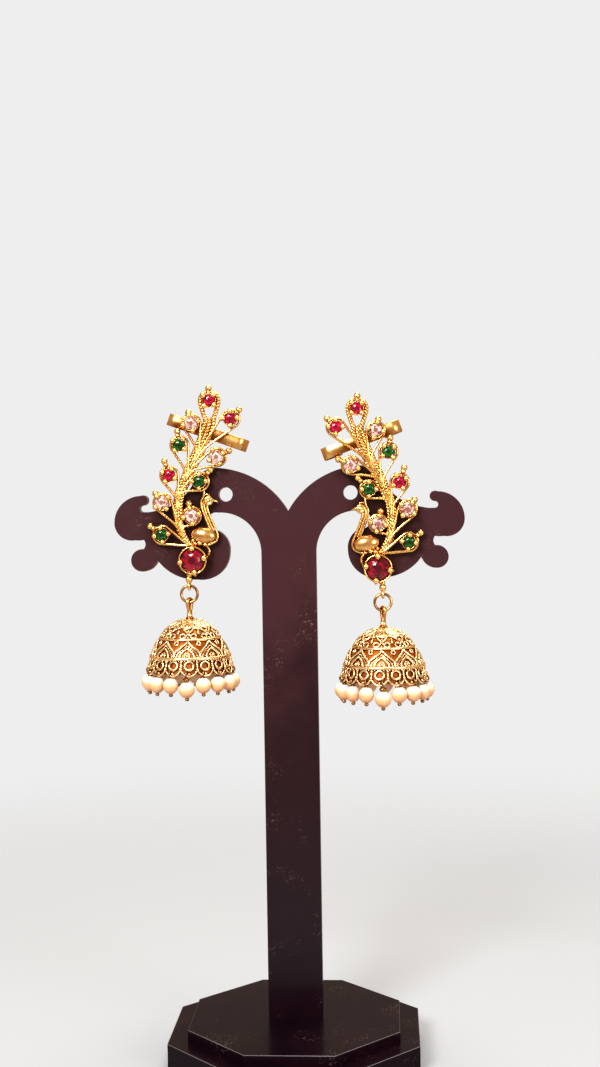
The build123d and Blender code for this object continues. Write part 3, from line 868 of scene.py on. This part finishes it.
# Distances down the section, in millimetres
CAP_EDGE = run_at(1.50)
UPPER_BAND = run_at(SHOULDER[1])
LOWER_BAND = run_at(FLANK[1])
LACE_END = RUN[-1]
PEAK_TOP = UPPER_BAND + 0.20
PEAK_FOOT = LOWER_BAND - 0.10
# Numbers round the dome, and the degrees from the front to the first of each
SCROLLS = 8                  # pairs of curls
SCROLL_PHASE = 4.0
CHEVRONS = 9
CHEVRON_PHASE = 3.0
RING_PHASE = 6.0             # of the skirt's rings, as many as there are pearls


def dome_ring(work, run, wire, lift):
    """A wire round the whole dome."""
    angles = np.linspace(0, 360, 120, endpoint=False)
    work.tube(on_dome(angles, run, lift), wire, closed=True)


def beaded_ring(work, run, bead, count, lift):
    """A row of small beads round the whole dome."""
    for angle in np.linspace(0, 360, count, endpoint=False):
        work.ball(on_dome(angle, run, lift), bead, rings=5, sides=8)


def dome_wall(first, last, outer_lift, inner_lift):
    """A closed loop of the dome's section for the lathe, between two distances down it."""
    runs = np.linspace(first, last, 30)
    outer = on_dome(90, runs, outer_lift) - APEX
    inner = on_dome(90, runs[::-1], inner_lift) - APEX
    return [(p[0], p[2]) for p in np.vstack([outer, inner])]


def bell_shell():
    """The wall that shows between the wires, from the cap to the lower band, in a darker, warmer
    copy of the gold as painted shade.
    """
    work = Work()
    work.lathe(dome_wall(0.5, LOWER_BAND + 0.1, -0.26, -0.42), APEX, UP, 96)
    return work


def skirt_shell():
    """The wall behind the skirt's rings, darkened as painted shadow."""
    work = Work()
    work.lathe(dome_wall(LOWER_BAND, LACE_END - 0.45, -0.34, -0.48), APEX, UP, 96)
    return work


def circle(steps):
    """Rows of (across, down) evenly round a circle of radius 1."""
    a = full_turn(steps)
    return np.stack([np.cos(a), -np.sin(a)], axis=1)


def scroll_pair(work, angle):
    """Two S-curves that meet in the middle and curl apart below, and a drop beside them."""
    middle = UPPER_BAND - 0.98
    beside = angle + 180 / SCROLLS
    for way in (-1, 1):
        turns = np.radians(np.linspace(180, 520, 22))
        curl = [(way * (0.97 + 0.49 * math.cos(t)), 0.26 - 0.45 * math.sin(t)) for t in turns]
        rows = [(1.12 * way, -1.45), (0.82 * way, -1.02), (0.42 * way, -0.68), (0.14 * way, -0.40),
                (0.26 * way, -0.02)] + curl
        line = smooth_line([(x, down, 0) for x, down in rows], 3)
        work.tube(patch(angle, middle, line[:, :2], -0.04), 0.18, 8)
    work.ball(patch(angle, middle, [(0, 0.60)], -0.05)[0], 0.23)
    work.ball(patch(angle, middle, [(0, -0.92)], -0.08)[0], 0.20)
    work.tube(patch(beside, middle, [(0, -1.10), (0, -0.75), (0, -0.40)], -0.08), 0.15, 7)
    work.ball(patch(beside, middle, [(0, -0.30)], -0.05)[0], 0.25)


def peak_wire(work, angle, rows, wire, lift):
    """A wire through rows of (share of half a chevron across, share of its height up)."""
    half = 180 / CHEVRONS
    rows = np.asarray(rows, float)
    runs = PEAK_FOOT - rows[:, 1] * (PEAK_FOOT - PEAK_TOP)
    line = on_dome(angle + rows[:, 0] * half, runs, lift)
    work.tube(smooth_line(line, 3), wire, 8)


def chevron(work, angle):
    """A bold zigzag peak with a finer line under it, a niche and a rosette at its foot."""
    half = 180 / CHEVRONS
    niche = PEAK_FOOT - 0.52
    peaks = (
        # wire, lift, rows of half the peak
        (0.22, 0.0, ((0.0, 0.95), (0.30, 0.74), (0.65, 0.52), (0.97, 0.30), (1.0, 0.0))),
        (0.10, -0.14, ((0.0, 0.74), (0.28, 0.56), (0.62, 0.36), (0.80, 0.16), (0.82, 0.0))),
        (0.19, 0.0, ((0.0, 0.54), (0.22, 0.44), (0.48, 0.24), (0.54, 0.0))),
    )
    for way in (-1, 1):
        for wire, lift, rows in peaks:
            peak_wire(work, angle, [(way * across, up) for across, up in rows], wire, lift)
    ringlet = circle(18)
    work.tube(patch(angle, niche, ringlet * 0.46, -0.08), 0.13, 7, closed=True)
    work.ball(patch(angle, niche, [(0, 0)], -0.02)[0], 0.25)
    work.tube(patch(angle + half, UPPER_BAND + 0.72, ringlet * 0.36, -0.06), 0.16, 7, closed=True)


def filigree():
    """The raised wires of the two upper zones with the bands between them."""
    work = Work()
    for k in range(SCROLLS):
        scroll_pair(work, SCROLL_PHASE + k * 360 / SCROLLS)
    for k in range(CHEVRONS):
        chevron(work, CHEVRON_PHASE + k * 360 / CHEVRONS)
    dome_ring(work, UPPER_BAND, 0.24, -0.02)
    dome_ring(work, LOWER_BAND, 0.30, 0.02)
    beaded_ring(work, LOWER_BAND + 0.36, 0.14, 84, -0.02)
    return work


def petal_row(work, count, phase, first, last, wire, lift):
    """A ring of rounded petals, each a closed loop with a grain inside its tip."""
    a = full_turn(20)
    for k in range(count):
        angle = phase + 360 * k / count
        middle, length = (first + last) / 2, (last - first) / 2
        width = math.radians(360 / count) * dome_radius(last) * 0.46
        share = 0.62 - 0.38 * np.cos(a)
        rows = np.stack([width * np.sin(a) * share, -length * np.cos(a)], axis=1)
        work.tube(patch(angle, middle, rows, lift), wire, 7, closed=True)
        work.ball(patch(angle, middle, [(0, 0.35 * length)], lift)[0], wire * 1.15)


def cap():
    """The petalled cap and the bead on the crown, brighter than the wall below them."""
    work = Work()
    petal_row(work, 12, 0.0, 2.15, CAP_EDGE, 0.17, -0.08)
    petal_row(work, 8, 12.0, 0.80, 2.45, 0.15, -0.03)
    work.lathe(dome_wall(0.2, CAP_EDGE - 0.30, -0.05, -0.4), APEX, UP, 56)
    work.ball(APEX + (0, 0, 0.62), 0.56, (1, 1, 0.92), 12, 18)
    return work


def skirt():
    """Open rings under the lower band, with scalloped arcs and beads between them."""
    work = Work()
    step = 360 / PEARLS
    ring_run = LOWER_BAND + 1.22
    low_run = LACE_END - 0.08
    a = full_turn(24)
    for k in range(PEARLS):
        angle = RING_PHASE + k * step
        rows = np.stack([0.78 * np.cos(a), 0.74 * np.sin(a)], axis=1)
        wire = 0.18 + 0.08 * np.clip(np.sin(a), 0, 1)
        work.tube(patch(angle, ring_run, rows, -0.02), wire, 8, closed=True)
        t = np.linspace(-1, 1, 17)
        drop = ring_run + 0.75 + (low_run - ring_run - 0.75) * (1 - t ** 2)
        work.tube(on_dome(angle + t * step / 2, drop, -0.02), 0.17, 7)
        between = angle + step / 2
        work.ball(on_dome(between, LOWER_BAND + 0.60, 0.04), 0.24)
        work.ball(on_dome(between, ring_run + 0.62, 0.04), 0.30)
        work.tube(on_dome(between, np.linspace(LOWER_BAND, ring_run + 0.6, 5), -0.05), 0.17, 6)
        work.ball(on_dome(angle, low_run - 0.42, -0.02), 0.24)
    return work


EYE_TURN = math.radians(35)  # the long eye's plane, turned from the YZ plane


def bell_top():
    """The long eye that holds the ring, and its wound neck."""
    work = Work()
    top = RING + (0, 0, -RING_R)
    across = np.array((math.sin(EYE_TURN), math.cos(EYE_TURN), 0))
    a = np.radians(np.linspace(-35, 215, 22))
    rows = [across * r + (0, 0, z) for r, z in ((0.16, -1.9), (0.20, -1.5), (0.38, -0.9))]
    rows += [across * EYE_R * math.cos(t) + (0, 0, EYE_R * math.sin(t)) for t in a]
    rows += [across * -r + (0, 0, z) for r, z in ((0.38, -0.9), (0.20, -1.5), (0.16, -1.9))]
    work.tube(resample(smooth_line(np.array(rows), 3), 0.09) + top, 0.33, 10)
    neck = APEX[2] - top[2]
    for k in range(4):
        work.hoop(top + (0, 0, -1.45 - 0.2 * k), 0.34, 0.13, (0.05, 0.1, 1), 20, 7)
    work.tube([top + (0, 0, -1.3), top + (0, 0, -1.9), top + (0, 0, neck)], (0.32, 0.36, 0.5), 12)
    work.hoop(APEX + (0, 0, 0.16), 0.58, 0.17, UP, 26, 8)
    return work


def jump_ring():
    work = Work()
    work.hoop(RING, RING_R, RING_WIRE_R, (0, 1, 0), 72, 14)
    return work


# ---- pearls ----
def hang_matrix(index, dice):
    """Where a numbered pearl hangs: turned to its place and tipped a little about its loop."""
    angle = math.radians(PEARL_PHASE + index * 360 / PEARLS)
    tip = math.radians(dice.uniform(-3.0, 3.0))
    lean = math.radians(dice.uniform(-2.0, 2.0))
    loop = Vector(APEX) + Vector((0, 0, -PIN_LOOP_DEPTH))
    around = Matrix.Rotation(angle, 4, "Z") @ Matrix.Translation((0, -PIN_CIRCLE_R, 0))
    tipped = Matrix.Rotation(lean, 4, "Y") @ Matrix.Rotation(tip, 4, "X")
    return Matrix.Translation(loop) @ around @ tipped


def pearl_drop(index):
    """How far a pearl's middle hangs below its pin's loop."""
    drop = FRONT_PEARL_DROP if index == 0 else 0
    return PEARL_DEPTH - PIN_LOOP_DEPTH + drop


def head_pin(index):
    """One pin about its loop's centre: loop, wound neck, shaft, cap and ball."""
    work = Work()
    work.hoop((0, 0, 0), 0.47, PIN_R, (1, 0, 0), 22, 8)
    top = PEARL_HALF_HEIGHT - pearl_drop(index)
    shaft_end = -PEARL_HALF_HEIGHT - pearl_drop(index) - 0.05
    work.tube([(0, 0, -0.42), (0, 0, -1.0), (0, 0, shaft_end)], PIN_R, 8)
    work.hoop((0, 0, -0.60), 0.19, 0.08, UP, 12, 6)
    work.ball((0, 0, top - 0.02), 0.45, (1, 1, 0.42), 8, 12)
    if index == 0:
        work.ball((0, 0, top + 0.32), 0.62, (1, 1, 0.62), 10, 16)
    work.ball((0, 0, shaft_end - 0.08), PIN_BALL_R, (1, 1, 0.85), 8, 12)
    return work


def pearl_shape(index, dice):
    """An oval bead, a little fuller above than below, with a soft uneven skin."""
    work = Work()
    size = 1.07 if index == 0 else 1.01
    half_height = PEARL_HALF_HEIGHT * 0.98
    work.ball((0, 0, 0), 1.0, (PEARL_R * size, PEARL_R * size, half_height), 22, 28)
    points = work.points[0]
    height = points[:, 2] / PEARL_HALF_HEIGHT
    swell = 1 + 0.05 * height - 0.06 * np.clip(-height, 0, 1) ** 2
    phases = [dice.uniform(0, 2 * math.pi) for _ in range(3)]
    bumps = (np.sin(2.1 * points[:, 0] + phases[0]) * np.sin(1.9 * points[:, 1] + phases[1])
             * np.sin(1.7 * points[:, 2] + phases[2]))
    points[:, :2] *= (swell * (1 + 0.025 * bumps))[:, None] * dice.uniform(0.95, 1.0)
    dimple = 0.12 * np.exp(-(np.hypot(points[:, 0], points[:, 1]) / 0.28) ** 2)
    points[:, 2] -= dimple * np.sign(points[:, 2])
    points[:, 2] -= pearl_drop(index)
    return work


# ---- earrings ----
SPRAY_PIECES = {
    "stem": (stem, WIRE_GOLD), "leaves": (leaves, WIRE_GOLD), "settings": (settings, WIRE_GOLD),
    "bezel": (bezel, WIRE_GOLD), "grains": (grains, WIRE_GOLD), "peacock": (peacock, WIRE_GOLD),
    "peacock_body": (peacock_body, BODY_GOLD),
    "cuff_clip": (cuff_clip, CLIP_GOLD), "link_eye": (link_eye, WIRE_GOLD),
}
BELL_PIECES = {
    "bell_shell": (bell_shell, SHADED_RECESS_GOLD), "skirt_shell": (skirt_shell, SHADOW_GOLD),
    "filigree": (filigree, BELL_GOLD),
    "cap": (cap, BELL_GOLD), "skirt": (skirt, SKIRT_GOLD), "bell_top": (bell_top, CLIP_GOLD),
}


def make_earring(side):
    """All of one earring's pieces; the dice are thrown for places first, then for shapes."""
    dice = random.Random(SEEDS[side])
    for name, (build, material) in SPRAY_PIECES.items():
        make_piece(name, build(), side, "root", material, [f"{side}_spray"])
    make_piece("big_ruby", big_ruby(), side, "root", DEEP_RUBY, [f"{side}_ruby"], False)
    for kind, node, material in (("ruby", "small_rubies", RUBY), ("emerald", "emeralds", EMERALD),
                                 ("crystal", "crystals", CRYSTAL)):
        make_piece(f"cut_{node}", small_stones(kind), side, "root", material,
                   [f"{side}_{node}"], False)
    make_piece("ring_wire", jump_ring(), side, f"{side}_ring", CLIP_GOLD,
               [f"{side}_jump_ring"])
    for name, (build, material) in BELL_PIECES.items():
        make_piece(name, build(), side, f"{side}_drop", material,
                   [f"{side}_bell"])
    places = [hang_matrix(index, dice) for index in range(PEARLS)]
    pins = Work()
    for index, place in enumerate(places):
        pins.add_moved(head_pin(index), place)
    make_piece("head_pins", pins, side, f"{side}_drop", SHADED_PIN_GOLD, [f"{side}_pearl_pins"])
    for index, place in enumerate(places):
        bead = Work()
        bead.add_moved(pearl_shape(index, dice), place)
        number = f"{index + 1:02d}"
        make_piece(f"nacre_{number}", bead, side, f"{side}_drop", PEARL,
                   [f"{side}_pearl_{number}"])


def dress_stand():
    """The stand's CAD nodes keep their shape and get their material."""
    for node, material in (("stand_base", FOOT_ACRYLIC), ("stand_step", FOOT_ACRYLIC),
                           ("stand_plate", PLATE_ACRYLIC)):
        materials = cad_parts[node].data.materials
        materials.clear()
        materials.append(material)


# ---- stage, lights and camera ----
def paper():
    """Pale matt paper that fades out with distance into the studio's own pale light."""
    m = Nodes("backdrop_paper")
    length = m.node("ShaderNodeVectorMath", operation="LENGTH")
    m.feed(length.inputs[0], m.place("Object"))
    fade = m.spread(length.outputs["Value"], 1.0, 0.0, 0.05, 0.30)
    fade.node.interpolation_type = "SMOOTHSTEP"
    m.set(Base_Color=(0.37, 0.385, 0.40, 1), Roughness=0.9, Alpha=fade)
    return m.material


def make_stage():
    """A round pale floor."""
    radius = 0.32
    sides = 96
    rim = [(radius * math.cos(a), radius * math.sin(a), 0) for a in full_turn(sides)]
    faces = [(0, 1 + k, 1 + (k + 1) % sides) for k in range(sides)]
    mesh = bpy.data.meshes.new("floor")
    mesh.from_pydata([(0, 0, 0)] + rim, [], faces)
    mesh.materials.append(paper())
    floor = link("floor", mesh)


def area_light(name, place, aim, size, watts):
    data = bpy.data.lights.new(name, "AREA")
    data.shape = "DISK"
    data.size = size
    data.energy = watts
    lamp = link(name, data)
    lamp.location = place
    lamp.rotation_euler = (Vector(aim) - Vector(place)).to_track_quat("-Z", "Y").to_euler()


def make_lights():
    """Four round softboxes that look at the middle of the arms."""
    middle = (0, 0, 0.085)
    table = (
        # name, place, size, watts
        ("key", (-0.16, -0.42, 0.34), 0.20, 3.8),
        ("fill", (0.34, -0.32, 0.16), 0.22, 1.1),
        ("top", (0.02, 0.05, 0.50), 0.25, 1.6),
        ("back", (0.10, 0.30, 0.46), 0.22, 1.2),
    )
    for name, place, size, watts in table:
        area_light(name, place, middle, size, watts)


def make_world():
    """A pale backdrop, and warm light from all round that the gold reflects."""
    world = bpy.data.worlds.new("studio")
    world.use_nodes = True
    tree = world.node_tree
    seen = tree.nodes.new("ShaderNodeLightPath")
    mix = tree.nodes.new("ShaderNodeMix")
    mix.data_type = "RGBA"
    mix.inputs["A"].default_value = (0.56, 0.43, 0.32, 1)
    mix.inputs["B"].default_value = (0.855, 0.855, 0.855, 1)
    tree.links.new(seen.outputs["Is Camera Ray"], mix.inputs["Factor"])
    tree.links.new(mix.outputs["Result"], tree.nodes["Background"].inputs["Color"])
    bpy.context.scene.world = world
    bpy.context.scene.view_settings.view_transform = "Standard"


def make_camera():
    """A close camera just under the arms' height, turned and rolled a little."""
    data = bpy.data.cameras.new("camera")
    data.sensor_fit = "VERTICAL"
    data.sensor_height = 36.0
    data.lens = 46.83
    data.clip_start = 0.01
    camera = link("camera", data)
    place = Vector((0.01789, -0.25323, 0.1005))
    yaw, pitch, roll = (math.radians(a) for a in (3.578, -1.094, -0.899))
    turn = (Matrix.Rotation(yaw, 4, "Z") @ Matrix.Rotation(math.pi / 2 + pitch, 4, "X")
            @ Matrix.Rotation(roll, 4, "Z"))
    camera.matrix_world = Matrix.Translation(place) @ turn
    bpy.context.scene.camera = camera


make_camera()
dress_stand()
for earring_side in SEEDS:
    make_earring(earring_side)
make_stage()
make_lights()
make_world()
